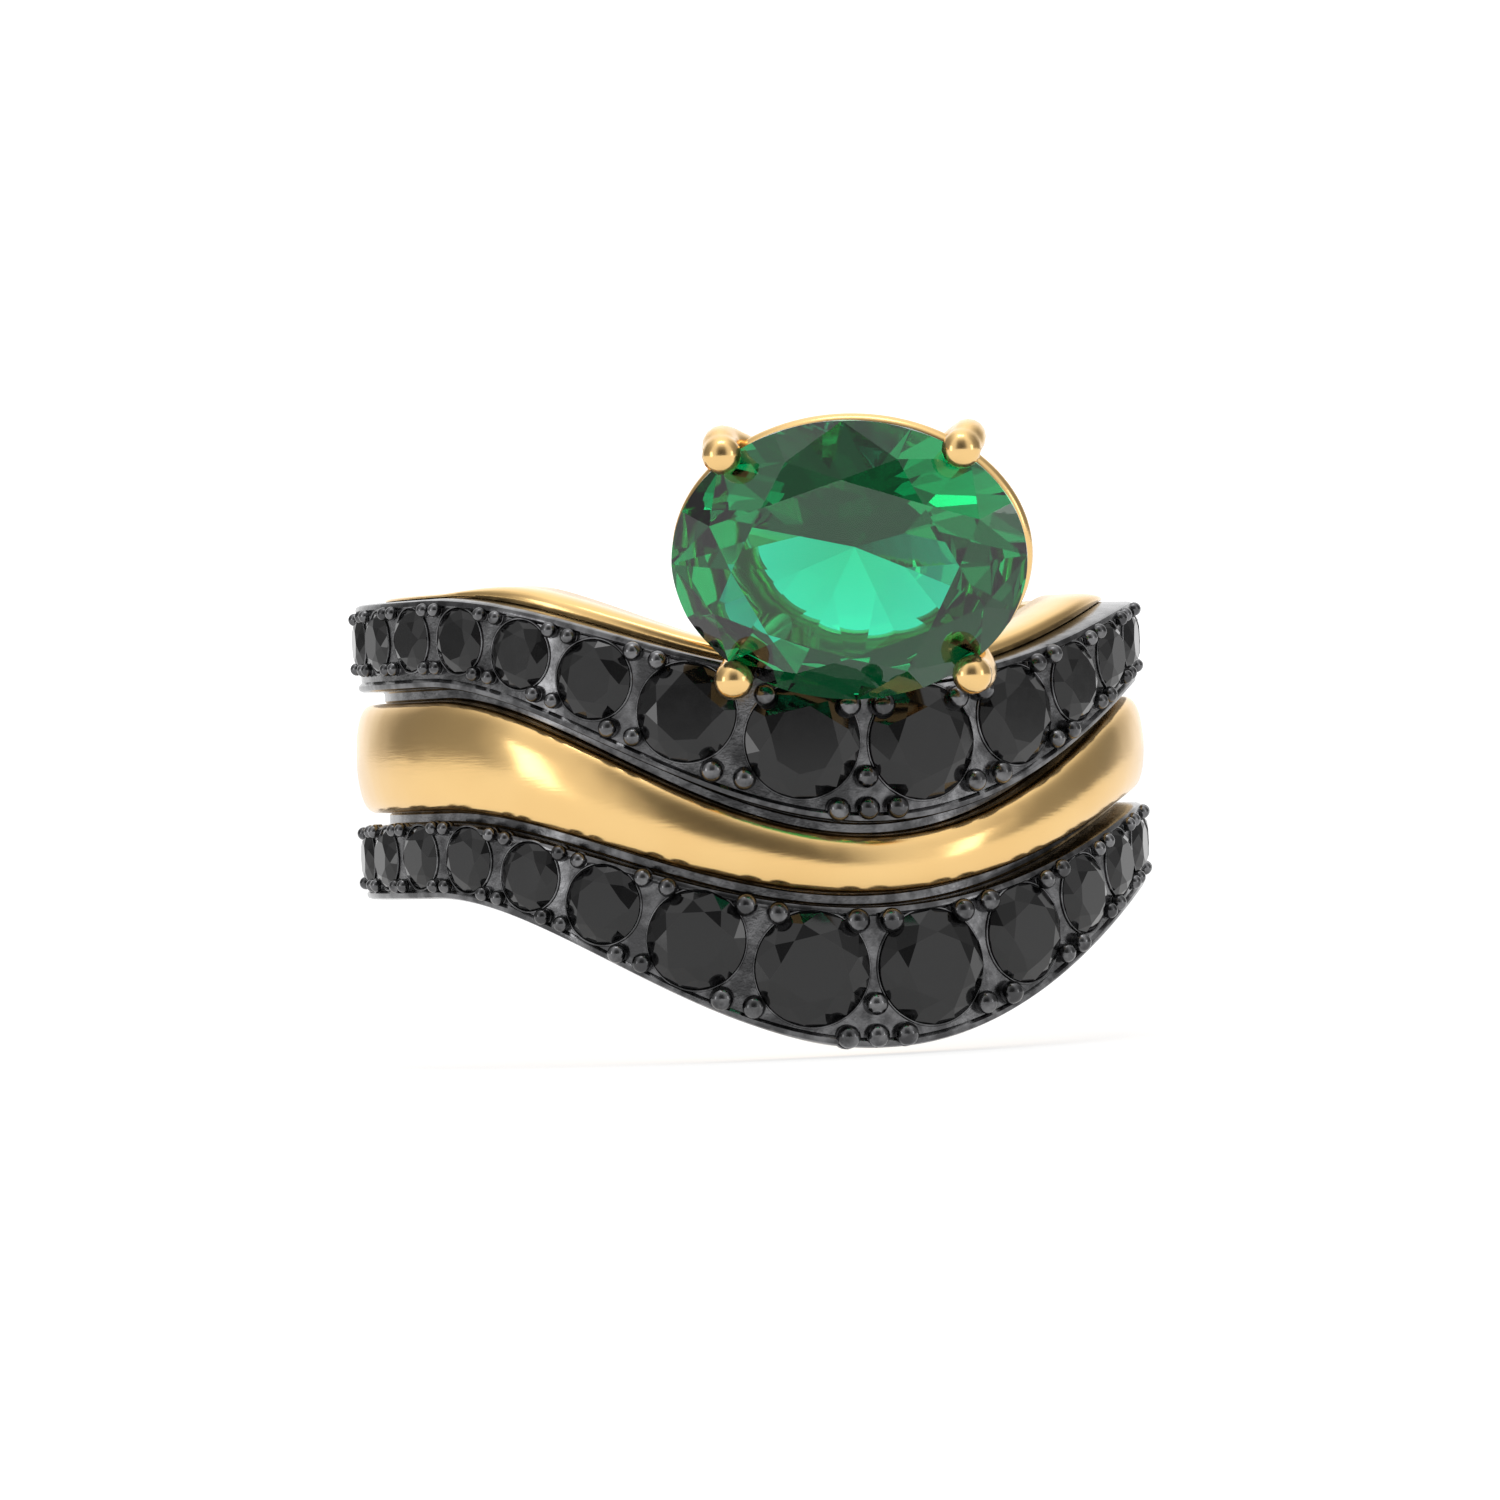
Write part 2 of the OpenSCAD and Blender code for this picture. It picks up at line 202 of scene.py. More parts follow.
def close_edit():
    bpy.ops.object.mode_set(mode="OBJECT")


def trace(name, points):
    """Draws an open profile vertex by vertex from (radius, height) pairs, beside the finger axis."""
    clear()
    bpy.ops.mesh.primitive_plane_add(size=0.01)
    piece = bpy.context.object
    piece.name = name
    edit(piece)
    bpy.ops.mesh.merge(type="CENTER")
    steps = [(0, 0)] + list(points)
    for i, (p, q) in enumerate(zip(steps, steps[1:])):
        move = {"value": (q[0] - p[0], 0, q[1] - p[1])}
        if i == 0:
            bpy.ops.transform.translate(**move)
        else:
            bpy.ops.mesh.extrude_region_move(TRANSFORM_OT_translate=move)
    close_edit()
    return piece


def close_profile(piece):
    """Joins the two ends of an open profile with an edge."""
    mesh = bmesh.new()
    mesh.from_mesh(piece.data)
    ends = [v for v in mesh.verts if len(v.link_edges) == 1]
    mesh.edges.new(ends)
    mesh.to_mesh(piece.data)
    mesh.free()


def spin(piece, angle, steps):
    edit(piece)
    bpy.ops.mesh.spin(steps=steps, angle=radians(angle), center=(0, 0, 0), axis=(0, 0, 1))
    bpy.ops.mesh.select_all(action="SELECT")
    bpy.ops.mesh.remove_doubles(threshold=1e-5)
    close_edit()


def fill_holes(piece):
    edit(piece)
    bpy.ops.mesh.select_all(action="DESELECT")
    bpy.ops.mesh.select_non_manifold(extend=False)
    bpy.ops.mesh.fill_holes(sides=0)
    close_edit()


def outward(piece):
    edit(piece)
    bpy.ops.mesh.normals_make_consistent(inside=False)
    close_edit()


def apply_all(piece):
    pick(piece)
    for modifier in list(piece.modifiers):
        bpy.ops.object.modifier_apply(modifier=modifier.name)


def copy_of(piece, name, place):
    twin = piece.copy()
    twin.data = piece.data.copy()
    twin.name = name
    twin.data.transform(place)
    bpy.context.scene.collection.objects.link(twin)
    return twin


def join(name, pieces):
    pick(*pieces)
    bpy.ops.object.join()
    whole = bpy.context.object
    whole.name = name
    return whole


def carve(piece, cutter):
    """Cuts one piece out of another and throws the cutter away."""
    cut = piece.modifiers.new("cut", "BOOLEAN")
    cut.operation = "DIFFERENCE"
    cut.solver = "EXACT"
    cut.object = cutter
    apply_all(piece)
    bpy.data.objects.remove(cutter)


def discard(*pieces):
    for piece in pieces:
        bpy.data.objects.remove(piece)


def finish_piece(piece, material, nodes, smooth=35, scale=MM):
    """Brings a piece to metres, gives it its finish and puts it in the place of its CAD nodes."""
    piece.data.transform(Matrix.Scale(scale, 4))
    piece.data.materials.clear()
    piece.data.materials.append(material)
    pick(piece)
    if smooth is None:
        bpy.ops.object.shade_flat()
    else:
        bpy.ops.object.shade_smooth_by_angle(angle=radians(smooth))
    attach(piece, BODY)
    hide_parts(*nodes)
    clear()


# ---- node trees ----


class Sock:
    """A socket of a node tree that adds Math nodes when it is used in an expression."""

    def __init__(self, tree, socket):
        self.tree = tree
        self.socket = socket

    def _math(self, operation, *values):
        return self.tree.node("ShaderNodeMath", {"operation": operation}, dict(enumerate(values)))

    def __add__(self, other):
        return self._math("ADD", self, other)

    __radd__ = __add__

    def __sub__(self, other):
        return self._math("SUBTRACT", self, other)

    def __rsub__(self, other):
        return self._math("SUBTRACT", other, self)

    def __mul__(self, other):
        return self._math("MULTIPLY", self, other)

    __rmul__ = __mul__

    def clipped(self):
        return self._math("MINIMUM", self._math("MAXIMUM", self, 0), 1)


class Tree:
    """A node tree; node() adds any node, sets it up, fills its sockets and returns an output."""

    def __init__(self, tree):
        self.tree = tree
        tree.nodes.clear()

    def node(self, kind, settings=None, inputs=None, output=0):
        made = self.tree.nodes.new(kind)
        for name, value in (settings or {}).items():
            if name == "ramp":
                stops = made.color_ramp.elements
                while len(stops) < len(value):
                    stops.new(0.5)
                for stop, (where, colour) in zip(stops, value):
                    stop.position = where
                    stop.color = (*colour, 1)
            else:
                setattr(made, name, value)
        for name, value in (inputs or {}).items():
            socket = made.inputs[name]
            if isinstance(value, Sock):
                self.tree.links.new(value.socket, socket)
            elif socket.type == "RGBA":
                socket.default_value = (*value[:3], 1)
            else:
                socket.default_value = value
        return Sock(self, made.outputs[output])

    def blend(self, factor, a, b):
        """Colour a where factor is 0 and colour b where it is 1."""
        node = self.tree.nodes.new("ShaderNodeMix")
        node.data_type = "RGBA"
        for socket, value in zip((node.inputs[0], node.inputs[6], node.inputs[7]), (factor, a, b)):
            if isinstance(value, Sock):
                self.tree.links.new(value.socket, socket)
            else:
                socket.default_value = value if socket.type == "VALUE" else (*value[:3], 1)
        return Sock(self, node.outputs[2])

    def place(self, scale, turn=(0, 0, 0)):
        """Object coordinates in millimetres, times scale."""
        where = self.node("ShaderNodeTexCoord", output="Object")
        sizes = [s / MM for s in scale]
        inputs = {"Vector": where, "Rotation": turn, "Scale": sizes}
        return self.node("ShaderNodeMapping", None, inputs)

    def noise(self, where, detail=3, rough=0.5):
        return self.node(
            "ShaderNodeTexNoise", None, {"Vector": where, "Scale": 1, "Detail": detail, "Roughness": rough}
        )

    def bump(self, height, depth, normal=None):
        """Relief of that depth in millimetres."""
        inputs = {"Height": height, "Strength": 1, "Distance": depth * MM}
        if normal:
            inputs["Normal"] = normal
        return self.node("ShaderNodeBump", None, inputs)


def material(name):
    made = bpy.data.materials.new(name)
    made.use_nodes = True
    return made, Tree(made.node_tree)


def surface(tree, inputs, volume=None):
    shader = tree.node("ShaderNodeBsdfPrincipled", None, inputs)
    outputs = {"Surface": shader}
    if volume:
        outputs["Volume"] = volume
    out = tree.tree.nodes.new("ShaderNodeOutputMaterial")
    for name, sock in outputs.items():
        tree.tree.links.new(sock.socket, out.inputs[name])


def gold_finish(looks):
    """Polished cast gold: fine buffing lines round the ring, soft unevenness and a fine grain in its roughness.
    """
    made, t = material("gold_polish")
    cloud = t.noise(t.place((0.35, 0.35, 0.35)), 2)
    lines = t.noise(t.place((0.9, 0.9, 9)), 4, 0.6)
    grain = t.noise(t.place((22, 22, 22)), 2)
    colour = t.blend(cloud, looks.gold_deep, looks.gold)
    rough = looks.gold_roughness + 0.08 * lines * cloud + 0.03 * grain
    swell = t.bump(cloud, 0.05)
    relief = t.bump(lines, 0.0025, swell)
    surface(t, {"Base Color": colour, "Metallic": 1.0, "Roughness": rough, "Normal": relief})
    return made


def rhodium_finish(looks):
    """Black rhodium plate: nearly black mirror, worn a little paler in patches."""
    made, t = material("rhodium_plate")
    worn = t.noise(t.place((1.3, 1.3, 1.3)), 4, 0.6)
    grain = t.noise(t.place((14, 14, 14)), 3)
    patches = ((worn - 0.42) * 5).clipped()
    colour = t.blend(patches, looks.rhodium_deep, looks.rhodium)
    rough = looks.rhodium_roughness + 0.14 * grain
    relief = t.bump(worn, 0.012, t.bump(grain, 0.002))
    surface(t, {"Base Color": colour, "Metallic": 1.0, "Roughness": rough, "Normal": relief})
    return made


def black_stone_finish(looks):
    """Opaque black stone: glossy facets with faint polishing haze."""
    made, t = material("black_facets")
    haze = t.noise(t.place((2.5, 2.5, 2.5)), 4, 0.65)
    specks = t.noise(t.place((30, 30, 30)), 2)
    colour = t.blend(haze, (0.001, 0.001, 0.001), looks.black_stone)
    rough = 0.04 + 0.1 * haze * specks
    surface(t, {"Base Color": colour, "Roughness": rough, "IOR": 1.5})
    return made


def green_stone_finish(looks):
    """Clear green stone: colour comes from its depth, with faint polishing lines on its facets."""
    made, t = material("green_facets")
    lines = t.noise(t.place((0.8, 3, 1.2), (0.3, 0.5, 0.9)), 2, 0.5)
    depth = t.node(
        "ShaderNodeVolumeAbsorption", None, {"Color": looks.green_stone, "Density": looks.green_depth}
    )
    surface(
        t,
        {
            "Base Color": looks.green_stone,
            "Roughness": 0.0,
            "IOR": looks.green_ior,
            "Transmission Weight": 1.0,
            "Normal": t.bump(lines, 0.0004),
        },
        depth,
    )
    return made


# ---- settings ----


class RingSizes(bpy.types.PropertyGroup):
    ledge_width: FloatProperty(
        name="Ledge width", description="Width of the ledge beside the gold band",
        default=0.32 * MM, unit="LENGTH", subtype="DISTANCE", min=0.2 * MM, max=0.5 * MM, precision=5,
    )
    rim_wire: FloatProperty(
        name="Seat rim", description="Radius of the bright rim round a stone's seat",
        default=0.035 * MM, unit="LENGTH", subtype="DISTANCE", min=0.01 * MM, max=0.08 * MM, precision=5,
    )
    bead_ratio: FloatProperty(
        name="Bead size", description="Bead radius over the radius of the stones it holds",
        default=0.24, subtype="FACTOR", min=0.18, max=0.28,
    )
    claw_wire: FloatProperty(
        name="Claw wire", description="Radius of a claw", default=0.5 * MM,
        unit="LENGTH", subtype="DISTANCE", min=0.4 * MM, max=0.52 * MM, precision=5,
    )
    claw_tip: FloatProperty(
        name="Claw tip", description="Radius of a claw's rounded tip", default=0.56 * MM,
        unit="LENGTH", subtype="DISTANCE", min=0.5 * MM, max=0.6 * MM, precision=5,
    )
    round_steps: IntProperty(
        name="Steps round", description="Steps of the bands round the ring",
        default=222, min=111, max=444,
    )


class RingLooks(bpy.types.PropertyGroup):
    gold: FloatVectorProperty(
        name="Gold", description="Colour of the gold", default=(0.86, 0.59, 0.26), subtype="COLOR", min=0, max=1
    )
    gold_deep: FloatVectorProperty(
        name="Deep gold", description="Colour of the gold in its deeper patches",
        default=(0.78, 0.5, 0.2), subtype="COLOR", min=0, max=1,
    )
    gold_roughness: FloatProperty(
        name="Gold roughness", description="How blurred the gold reflects", default=0.15,
        subtype="FACTOR", min=0, max=1,
    )
    rhodium: FloatVectorProperty(
        name="Rhodium", description="Colour of the black plate where it is worn",
        default=(0.18, 0.18, 0.185), subtype="COLOR", min=0, max=1,
    )
    rhodium_deep: FloatVectorProperty(
        name="Deep rhodium", description="Colour of the black plate", default=(0.07, 0.07, 0.072),
        subtype="COLOR", min=0, max=1,
    )
    rhodium_roughness: FloatProperty(
        name="Rhodium roughness", description="How blurred the plate reflects", default=0.12,
        subtype="FACTOR", min=0, max=1,
    )
    black_stone: FloatVectorProperty(
        name="Black stone", description="Colour of the black stones", default=(0.005, 0.005, 0.0055),
        subtype="COLOR", min=0, max=1,
    )
    green_stone: FloatVectorProperty(
        name="Green stone", description="Colour that the oval stone lets through",
        default=(0.04, 0.81, 0.6), subtype="COLOR", min=0, max=1,
    )
    green_depth: FloatProperty(
        name="Green depth", description="How fast the oval stone takes up light, per metre",
        default=480, min=0, max=3000,
    )
    green_ior: FloatProperty(
        name="Green index", description="Refractive index of the oval stone",
        default=1.62, min=1.3, max=2.4,
    )


# ---- the bands ----


class RingShank(bpy.types.Operator):
    """Sleeve, shoulder and plain back of the shank, in one closed sweep"""

    bl_idname = "ring.shank"
    bl_label = "Shank"

    front_steps = 200
    back_steps = 120

    def front(self, a):
        sill = edge_z(UPPER_EDGE, a) + 0.02
        bottom = edge_z(LOWER_EDGE, a) + 0.15
        rise = max(0.15 + 0.35 * ease((75 - abs(a)) / 25) - 0.02, 0.1)
        profile = [
            (BORE_R, bottom + 0.1), (BORE_R + 0.1, bottom), (SLEEVE_R - 0.1, bottom),
            (SLEEVE_R, bottom + 0.1), (SLEEVE_R, sill), (SHOULDER_R - 0.03, sill),
            (SHOULDER_R, sill + rise * 0.12), (SHOULDER_R, sill + rise * 0.45),
        ]
        for turned in (20, 40, 60, 80):
            across, up = 1 - cos(radians(turned)), sin(radians(turned))
            profile.append((SHOULDER_R - 0.55 * across, sill + rise * (0.45 + 0.55 * up)))
        return profile + [(BORE_R + 0.15, sill + rise), (BORE_R, sill + rise - 0.1)]

    def back(self, a):
        side = a - 360 if a > 180 else a
        t = ease((abs(side) - BAND_END) / (180 - BAND_END))
        rise = 0.15 + 0.35 * ease((75 - abs(side)) / 25)
        top = mix(edge_z(UPPER_EDGE, side) + rise, BACK_W / 2, t)
        bottom = mix(edge_z(LOWER_EDGE, side), -BACK_W / 2, t)
        r = mix(LEDGE_R, BACK_R, ease(1.5 * t))
        half = (top - bottom) / 2
        profile = [(BORE_R, bottom + 0.1), (BORE_R + 0.1, bottom)]
        for turned in (-90, -72, -54, -36, -18, 18, 36, 54, 72, 90):
            across, up = cos(radians(turned)) ** 0.6, sin(radians(turned))
            profile.append((r - 0.75 + 0.75 * across, (top + bottom) / 2 + half * up))
        return profile + [(BORE_R + 0.1, top), (BORE_R, top - 0.1)]

    def execute(self, context):
        reach = BAND_END + 0.02
        steps = self.front_steps + self.back_steps
        angles = [mix(-reach, reach, i / (self.front_steps - 1)) for i in range(self.front_steps)]
        last = self.back_steps - 1
        back = [mix(reach + 0.1, 359.9 - reach, i / last) for i in range(self.back_steps)]
        # a stand-in profile with one height for each point, so that a point can be told by its height
        count = len(self.front(0))
        piece = trace("gold_shank", [(BORE_R, i) for i in range(count)])
        close_profile(piece)
        spin(piece, 360, steps)
        for v in piece.data.vertices:
            index = round(degrees(atan2(v.co.y, v.co.x)) % 360 / 360 * steps) % steps
            a = (angles + back)[index]
            section = self.front(a) if index < self.front_steps else self.back(a)
            v.co = at(*(lambda p: (p[0], a, p[1]))(section[round(v.co.z)]))
        outward(piece)
        looks = bpy.data.materials["gold_polish"]
        finish_piece(piece, looks, ["ring_shank"], 40)
        return {"FINISHED"}


def band_sweep(name, profile, place, steps):
    """Spins a profile over the reach of the bands and lets each point follow the waving edges."""
    piece = trace(name, profile)
    close_profile(piece)
    spin(piece, 2 * BAND_END, steps)
    for v in piece.data.vertices:
        r = hypot(v.co.x, v.co.y)
        turned = -degrees(atan2(v.co.y, v.co.x)) % 360
        a = (turned if turned < 359.5 else 0) - BAND_END
        # thinned down over the last few degrees to meet the back of the shank
        end = LEDGE_R + 0.05
        v.co = at(mix(r, min(r, end), ease(1 - (BAND_END - abs(a)) / 7)), a, place(a, v.co.z))
    fill_holes(piece)
    outward(piece)
    return piece


class RingGoldBand(bpy.types.Operator):
    """Domed gold band between the two rails"""

    bl_idname = "ring.gold_band"
    bl_label = "Gold band"

    def execute(self, context):
        low, high = GOLD_BOTTOM[0], GOLD_TOP[0]
        mid, half = (low + high) / 2, (high - low) / 2
        profile = [(SEAT_R, low)]
        for turned in range(-90, 91, 10):
            b = radians(turned)
            profile.append((SIDE_R + (CREST_R - SIDE_R) * max(0, cos(b)) ** 0.5, mid + half * sin(b)))
        profile.append((SEAT_R, high))

        def place(a, z):
            return mix(edge_z(GOLD_BOTTOM, a), edge_z(GOLD_TOP, a), (z - low) / (high - low))

        piece = band_sweep("gold_band", profile, place, context.scene.ring_sizes.round_steps)
        finish_piece(piece, bpy.data.materials["gold_polish"], ["centre_band"], 50)
        return {"FINISHED"}


def rail_profile(low, high, ledge, ledge_on_top):
    """Half-open outline of a rail: side wall, rounded border, channel for the stones, and a ledge."""
    wall = [(SEAT_R, 0), (LEDGE_R, 0), (RAIL_R - 0.14, 0.02), (RAIL_R - 0.04, 0.06)]
    crown = [(RAIL_R, 0.13), (RAIL_R, 0.2), (RAIL_R - 0.03, 0.24), (RAIL_R - 0.09, 0.3)]
    plain = wall + crown
    step = [(SEAT_R, 0), (LEDGE_R - 0.06, 0), (LEDGE_R, 0.05)]
    step += [(LEDGE_R, ledge - 0.05), (LEDGE_R + 0.04, ledge)]
    stepped = step + [(r, z + ledge) for r, z in wall[2:] + crown]
    bottom, top = (plain, stepped) if ledge_on_top else (stepped, plain)
    return [(r, low + z) for r, z in bottom] + [(r, high - z) for r, z in top[::-1]]


def seats(rail, rim):
    """Cutters for the stones of a row, and the thin bright rims left round them."""
    cutters, rims = [], []
    for i, (a, d) in enumerate(zip(row_angles(rail), ROW_D)):
        place = stand(RAIL_R - GIRDLE_SINK, a, row_z(rail, a))
        clear()
        bpy.ops.mesh.primitive_cylinder_add(vertices=64, radius=d / 2 + 0.03, depth=d * 0.41 + 1)
        cutter = bpy.context.object
        edit(cutter)
        bpy.ops.transform.translate(value=(0, 0, 0.5 - d * 0.205))
        close_edit()
        cutter.data.transform(place)
        cutters.append(cutter)
        clear()
        bpy.ops.mesh.primitive_torus_add(
            major_segments=64, minor_segments=8, major_radius=d / 2 + 0.045, minor_radius=rim
        )
        ring = bpy.context.object
        for v in ring.data.vertices:
            reach = a + degrees(v.co.x / RAIL_R)
            v.co = at(RAIL_R - 0.07 + v.co.z, reach, row_z(rail, a) + v.co.y)
        rims.append(ring)
    return join("seat_cutter", cutters), join("seat_rims", rims)


class RingRails(bpy.types.Operator):
    """The two black rails with their ledges, channels and stone seats"""

    bl_idname = "ring.rails"
    bl_label = "Black rails"

    def execute(self, context):
        sizes = context.scene.ring_sizes
        plate = bpy.data.materials["rhodium_plate"]
        for name, rail in RAILS.items():
            low, high = rail["bottom"][0], rail["top"][0]
            mid = (low + high) / 2

            def place(a, z, rail=rail, mid=mid):
                edge = rail["top"] if z > mid else rail["bottom"]
                return z + edge_z(edge, a) - edge[0]

            profile = rail_profile(low + 0.01, high - 0.01, sizes.ledge_width / MM, rail["ledge_on_top"])
            piece = band_sweep(f"black_rail_{name}", profile, place, sizes.round_steps)
            cutter, rims = seats(rail, sizes.rim_wire / MM)
            carve(piece, cutter)
            if name == "upper":
                for side in (-1, 1):
                    carve(piece, claw_shape(sizes, side, -1, 0.02))
            finish_piece(piece, plate, [f"{name}_pave_rail"], 32)
            rims.name = f"seat_rims_{name}"
            finish_piece(rims, plate, [f"{name}_pave_rail"], 180)
        return {"FINISHED"}


# ---- stones ----


def cut_stone(name, crown, pavilion, girdle, table, star, lower, sides=96):
    """A round brilliant of radius 1, cut facet by facet from a rod: table, eight kites, eight
    stars and sixteen halves above the girdle, eight mains and sixteen halves below it."""
    clear()
    bpy.ops.mesh.primitive_cylinder_add(
        vertices=sides, radius=1, depth=crown + pavilion + 0.2, location=(0, 0, (crown - pavilion) / 2)
    )
    stone = bpy.context.object
    stone.name = name
    bpy.ops.object.transform_apply(location=True)
    lip = girdle / 2
    kite_z = lip + (crown - lip) * (1 - star * cos(pi / 8)) / (1 - table)
    main_z = -lip - (pavilion - lip) * (1 - lower * cos(pi / 8))

    def point(r, turn, z):
        return Vector((r * cos(radians(turn)), r * sin(radians(turn)), z))

    edit(stone)

    def facet(p, q, r):
        normal = (q - p).cross(r - p).normalized()
        if normal.dot(p) < 0:
            normal.negate()
        bpy.ops.mesh.select_all(action="SELECT")
        bpy.ops.mesh.bisect(plane_co=p, plane_no=normal, use_fill=True, clear_outer=True, threshold=1e-5)

    facet(point(1, 0, crown), point(1, 90, crown), point(1, 180, crown))
    culet = Vector((0, 0, -pavilion))
    for turn in range(0, 360, 45):
        kite = point(1, turn, lip), point(table, turn, crown)
        facet(*kite, kite[0] + point(1, turn + 90, 0))
        tip = point(star, turn + 22.5, kite_z)
        facet(tip, point(table, turn, crown), point(table, turn + 45, crown))
        main = point(1, turn, -lip)
        facet(main, culet, main + point(1, turn + 90, 0))
        foot = point(lower, turn + 22.5, main_z)
        for side in (0, 45):
            corner, middle = turn + side, turn + 22.5
            facet(tip, point(1, corner, lip), point(1, middle, lip))
            facet(foot, point(1, corner, -lip), point(1, middle, -lip))
    bpy.ops.mesh.select_all(action="SELECT")
    bpy.ops.mesh.remove_doubles(threshold=1e-4)
    bpy.ops.mesh.normals_make_consistent(inside=False)
    close_edit()
    return stone


class RingBlackStones(bpy.types.Operator):
    """Thirty-two round black stones, one cut and copied to its seats"""

    bl_idname = "ring.black_stones"
    bl_label = "Black stones"

    def execute(self, context):
        pattern = cut_stone("pattern", 0.3, 0.74, 0.06, 0.6, 0.8, 0.25, 64)
        for name, rail in RAILS.items():
            for i, (a, d) in enumerate(zip(row_angles(rail), ROW_D)):
                turned = Matrix.Rotation(radians(11.25 * (i % 4)), 4, "Z")
                seat = stand(RAIL_R - GIRDLE_SINK, a, row_z(rail, a))
                place = seat @ turned @ Matrix.Scale(d / 2, 4)
                stone = copy_of(pattern, f"black_stone_{name}_{i + 1:02d}", place)
                node = f"{name}_stone_{i + 1:02d}"
                finish_piece(stone, bpy.data.materials["black_facets"], [node], None)
        discard(pattern)
        return {"FINISHED"}


class RingOvalStone(bpy.types.Operator):
    """Oval brilliant in the head"""

    bl_idname = "ring.oval_stone"
    bl_label = "Oval stone"

    def execute(self, context):
        stone = cut_stone("green_oval_stone", 1.15, 3.4, 0.16, 0.64, 0.82, 0.32, 160)
        edit(stone)
        bpy.ops.transform.resize(value=(OVAL_L / 2, OVAL_W / 2, 1))
        close_edit()
        stone.data.transform(head_place())
        finish_piece(stone, bpy.data.materials["green_facets"], ["centre_stone"], None)
        return {"FINISHED"}


# ---- beads ----


def bead_places(name, rail, side, bead_ratio):
    """Where the beads of one edge of a rail stand, and how big they are."""
    angles = row_angles(rail)
    places = []
    for i in range(2 * PER_SIDE - 1):
        if side == -1 and i == PER_SIDE - 1:
            continue
        near_head = name == "upper" and side == 1 and abs(i - PER_SIDE + 1) < 2
        both = ROW_D[i] + ROW_D[i + 1]
        a = (angles[i] * ROW_D[i + 1] + angles[i + 1] * ROW_D[i]) / both
        r = both / 4
        slope = atan2(row_z(rail, a + 2) - row_z(rail, a - 2), RAIL_R * radians(4))
        seat = stand(RAIL_R, a, row_z(rail, a)) @ Matrix.Rotation(slope, 4, "Z")
        for s in (-1, 1):
            step = Matrix.Translation((s * r * 0.31, side * r * (0.7 if near_head else 0.9), 0))
            places.append((seat @ step, r * bead_ratio))
    for i in (0, len(ROW_D) - 1):
        a = angles[i] + (4.6 if angles[i] > 0 else -4.6)
        r = ROW_D[i] / 2
        step = Matrix.Translation((0, side * r * 0.85, 0))
        places.append((stand(RAIL_R, a, row_z(rail, a)) @ step, r * bead_ratio))
    if side == -1:
        r = STONE_D[0] / 2
        seat = stand(RAIL_R, 0, row_z(rail, 0))
        for x, y in ((0, -0.54), (-0.53, -1.09), (0, -1.09), (0.53, -1.09)):
            places.append((seat @ Matrix.Translation((x * r, y * r, 0)), r * bead_ratio * 0.93))
    return places


class RingBeads(bpy.types.Operator):
    """Setting beads: a domed head on a post with a thin foot raised round it"""

    bl_idname = "ring.beads"
    bl_label = "Setting beads"

    def execute(self, context):
        profile = [(0, 1.08)]
        for turned in (75, 60, 45, 30, 15, 0, -25):
            profile.append((0.93 * cos(radians(turned)), 0.15 + 0.93 * sin(radians(turned))))
        profile += [(0.83, -0.36), (0.9, -0.4), (0.96, -0.3), (1.0, -0.4), (1.0, -0.9), (0, -0.9)]
        pattern = trace("bead_pattern", profile)
        spin(pattern, 360, 20)
        outward(pattern)
        ratio = context.scene.ring_sizes.bead_ratio
        for name, rail in RAILS.items():
            for side, edge in ((1, "top"), (-1, "bottom")):
                beads = [
                    copy_of(pattern, "bead", place @ Matrix.Scale(r, 4))
                    for place, r in bead_places(name, rail, side, ratio)
                ]
                row = join(f"beads_{name}_{edge}", beads)
                node = f"{name}_rail_{edge}_beads"
                finish_piece(row, bpy.data.materials["rhodium_plate"], [node], 50)
        discard(pattern)
        return {"FINISHED"}


# ---- the wire head ----


def claw_shape(sizes, sx, sy, grow=0):
    """A claw drawn as a wire that ends in a ball over the stone's crown."""
    tip = sizes.claw_tip / MM + grow
    wire = sizes.claw_wire / MM + grow
    turn = radians(CLAW_ANGLE)

    def along(f, z, out=0):
        return Vector(
            (sx * (f * OVAL_L / 2 + out) * cos(turn), sy * (f * OVAL_W / 2 + out) * sin(turn), z)
        )

    ball = along(1, 0.6, 0.22)
    path = [
        (along(0.52, BASE_Z - 0.2), wire), (along(0.64, BASE_Z + 0.4), wire),
        (along(0.9, GALLERY_Z - 0.6, 0.1), wire), (along(1, GALLERY_Z + 0.2, 0.3), wire),
        (along(1, -0.1, 0.4), wire), (along(1, 0.25, 0.33), wire),
    ]
    lean = (ball - path[-1][0]).normalized()
    for turned in (-25, 0, 20, 40, 58, 74, 86):
        b = radians(turned)
        path.append((ball + lean * tip * sin(b), tip * cos(b)))
    curve = bpy.data.curves.new("claw", "CURVE")
    curve.dimensions = "3D"
    curve.bevel_depth = 1
    curve.bevel_resolution = 6
    curve.use_fill_caps = True
    line = curve.splines.new("POLY")
    points = smooth_path(path)
    line.points.add(len(points) - 1)
    for point, (where, r) in zip(line.points, points):
        point.co = (*where, 1)
        point.radius = r
    claw = bpy.data.objects.new("claw", curve)
    bpy.context.scene.collection.objects.link(claw)
    pick(claw)
    bpy.ops.object.convert(target="MESH")
    claw = bpy.context.object
    edit(claw)
    bpy.ops.mesh.remove_doubles(threshold=1e-4)
    close_edit()
    fill_holes(claw)
    outward(claw)
    claw.data.transform(head_place())
    return claw


